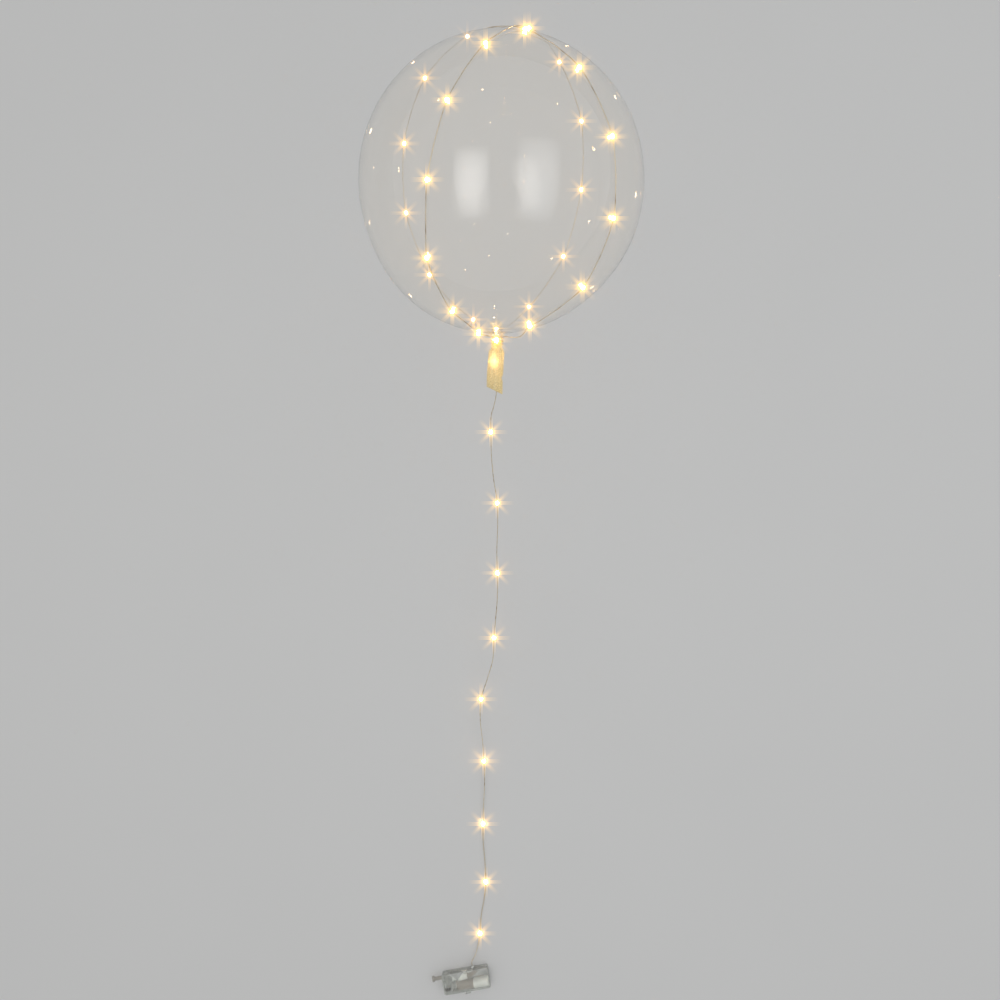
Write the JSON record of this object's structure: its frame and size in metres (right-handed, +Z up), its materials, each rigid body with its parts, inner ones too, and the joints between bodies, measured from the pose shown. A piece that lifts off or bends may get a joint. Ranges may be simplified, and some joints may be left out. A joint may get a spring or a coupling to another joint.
{
  "type": "clear bubble balloon",
  "caption": "Round clear film bubble balloon with a gathered neck and flat tail, wound with a fine wire string of small warm lamps that runs down to a small clear battery case.",
  "frame": {"origin": "middle of the small flat spot under the bubble, on the surface it lies on", "axes": "+Z up, +Y from the neck to the crown along the bubble, +X to the right seen from above with the crown away"},
  "size_m": [0.38, 1.3967, 0.3776],
  "materials": {
    "clear_film": "thin clear glossy stretched film",
    "silver_wire": "fine enamelled twin wire",
    "warm_resin": "clear resin drop over a warm white lamp",
    "clear_plastic": "clear moulded plastic, faintly grey-green",
    "cell_jacket": "plain printed film jacket, no text",
    "nickel_plate": "nickel plated spring steel",
    "switch_plastic": "dark moulded plastic"
  },
  "bodies": {
    "root": {"film_balloon": "clear_film", "wound_string": "silver_wire", "loose_string": "silver_wire", "balloon_lamp_01": "warm_resin", "balloon_lamp_02": "warm_resin", "balloon_lamp_03": "warm_resin", "balloon_lamp_04": "warm_resin", "balloon_lamp_05": "warm_resin", "balloon_lamp_06": "warm_resin", "balloon_lamp_07": "warm_resin", "balloon_lamp_08": "warm_resin", "balloon_lamp_09": "warm_resin", "balloon_lamp_10": "warm_resin", "balloon_lamp_11": "warm_resin", "balloon_lamp_12": "warm_resin", "balloon_lamp_13": "warm_resin", "balloon_lamp_14": "warm_resin", "balloon_lamp_15": "warm_resin", "balloon_lamp_16": "warm_resin", "balloon_lamp_17": "warm_resin", "balloon_lamp_18": "warm_resin", "balloon_lamp_19": "warm_resin", "balloon_lamp_20": "warm_resin", "balloon_lamp_21": "warm_resin", "balloon_lamp_22": "warm_resin", "balloon_lamp_23": "warm_resin", "balloon_lamp_24": "warm_resin", "balloon_lamp_25": "warm_resin", "balloon_lamp_26": "warm_resin", "balloon_lamp_27": "warm_resin", "string_lamp_01": "warm_resin", "string_lamp_02": "warm_resin", "string_lamp_03": "warm_resin", "string_lamp_04": "warm_resin", "string_lamp_05": "warm_resin", "string_lamp_06": "warm_resin", "string_lamp_07": "warm_resin", "string_lamp_08": "warm_resin", "string_lamp_09": "warm_resin", "case_tray": "clear_plastic", "case_lid": "clear_plastic", "slide_switch": "switch_plastic", "cell_near": "cell_jacket", "cell_far": "cell_jacket", "contact_bay_end": "nickel_plate", "contact_far_end": "nickel_plate", "string_bushing": "clear_plastic"}
  },
  "joints": []
}
